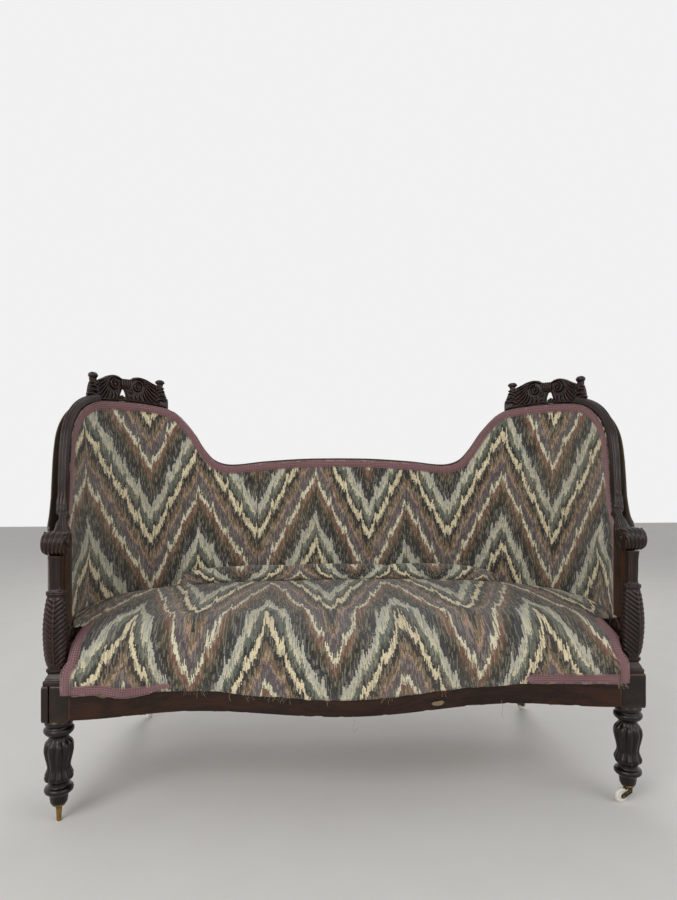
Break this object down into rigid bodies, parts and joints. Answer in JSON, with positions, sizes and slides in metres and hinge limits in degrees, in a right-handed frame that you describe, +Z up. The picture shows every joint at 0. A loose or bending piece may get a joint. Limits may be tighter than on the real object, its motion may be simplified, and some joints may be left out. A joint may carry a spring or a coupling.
{
  "type": "torn sofa",
  "caption": "Double-hump settee with a curved stuffed back, carved show wood, turned front legs, rolling casters and a torn seat front.",
  "frame": {"origin": "middle of the bounding box, on the floor", "axes": "+X to the right as seen from the front, +Y from the seat front to the back, +Z up"},
  "size_m": [1.6362, 0.7223, 1.1707],
  "materials": {
    "mahogany": "old dark polish, worn on the edges",
    "flame_fabric": "woven flame stitch, faded",
    "braid": "dusty pink gimp braid",
    "lining": "plain cotton cover",
    "stuffing": "horsehair and fibre in hessian",
    "brass": "dull, dark",
    "caster_steel": "rust-browned",
    "ceramic": "glazed white ceramic",
    "webbing": "jute webbing",
    "spring_steel": "dull with light rust"
  },
  "bodies": {
    "settee": {"front_leg_left": "mahogany", "front_leg_right": "mahogany", "block_split_strip_left": "mahogany", "front_rail": "mahogany", "back_rail": "mahogany", "side_rail_right": "mahogany", "side_rail_left": "mahogany", "back_leg_right": "mahogany", "back_leg_left": "mahogany", "arm_support_right": "mahogany", "arm_support_left": "mahogany", "support_plinth_right": "mahogany", "support_plinth_left": "mahogany", "arm_stump_right": "mahogany", "arm_stump_left": "mahogany", "arm_rail_right": "mahogany", "arm_rail_left": "mahogany", "top_rail_centre": "mahogany", "hump_rail_right": "mahogany", "hump_rail_left": "mahogany", "back_stile_right": "mahogany", "back_stile_left": "mahogany", "crest_right": "mahogany", "crest_left": "mahogany", "inside_back": "flame_fabric", "seat_cover": "flame_fabric", "back_roll": "flame_fabric", "braid_back": "braid", "braid_seat_right": "braid", "braid_seat_left": "braid", "braid_front_right": "braid", "braid_front_left": "braid", "outside_back": "lining", "seat_stuffing": "stuffing", "caster_cup_front_left": "brass", "broken_pintle_front_left": "brass", "caster_cup_front_right": "brass", "caster_cup_back_left": "brass", "caster_cup_back_right": "brass", "web_strap_1": "webbing", "web_strap_2": "webbing", "web_strap_3": "webbing", "web_strap_4": "webbing", "web_strap_5": "webbing", "seat_spring_1": "spring_steel", "seat_spring_2": "spring_steel", "seat_spring_3": "spring_steel", "seat_spring_4": "spring_steel", "seat_spring_5": "spring_steel", "seat_spring_6": "spring_steel"},
    "swivel_front_right": {"caster_horn_front_right": "brass", "caster_axle_front_right": "caster_steel"},
    "wheel_front_right": {"caster_wheel_front_right": "ceramic"},
    "swivel_back_left": {"caster_horn_back_left": "brass", "caster_axle_back_left": "caster_steel"},
    "wheel_back_left": {"caster_wheel_back_left": "ceramic"},
    "swivel_back_right": {"caster_horn_back_right": "brass", "caster_axle_back_right": "caster_steel"},
    "wheel_back_right": {"caster_wheel_back_right": "ceramic"}
  },
  "joints": [
    {"name": "swivel_front_right", "type": "hinge", "parent": "settee", "child": "swivel_front_right", "pos_m": [0.7385, -0.30258, 0.04], "axis": [0, 0, 1], "continuous": true},
    {"name": "wheel_spin_front_right", "type": "hinge", "parent": "swivel_front_right", "child": "wheel_front_right", "pos_m": [0.71706, -0.30753, 0.019], "axis": [0.225, -0.9744, 0], "continuous": true},
    {"name": "swivel_back_left", "type": "hinge", "parent": "settee", "child": "swivel_back_left", "pos_m": [-0.655, 0.31992, 0.04], "axis": [0, 0, 1], "continuous": true},
    {"name": "wheel_spin_back_left", "type": "hinge", "parent": "swivel_back_left", "child": "wheel_back_left", "pos_m": [-0.65692, 0.34184, 0.019], "axis": [-0.9962, -0.0872, 0], "continuous": true},
    {"name": "swivel_back_right", "type": "hinge", "parent": "settee", "child": "swivel_back_right", "pos_m": [0.655, 0.31992, 0.04], "axis": [0, 0, 1], "continuous": true},
    {"name": "wheel_spin_back_right", "type": "hinge", "parent": "swivel_back_right", "child": "wheel_back_right", "pos_m": [0.67494, 0.32922, 0.019], "axis": [-0.4226, 0.9063, 0], "continuous": true}
  ]
}
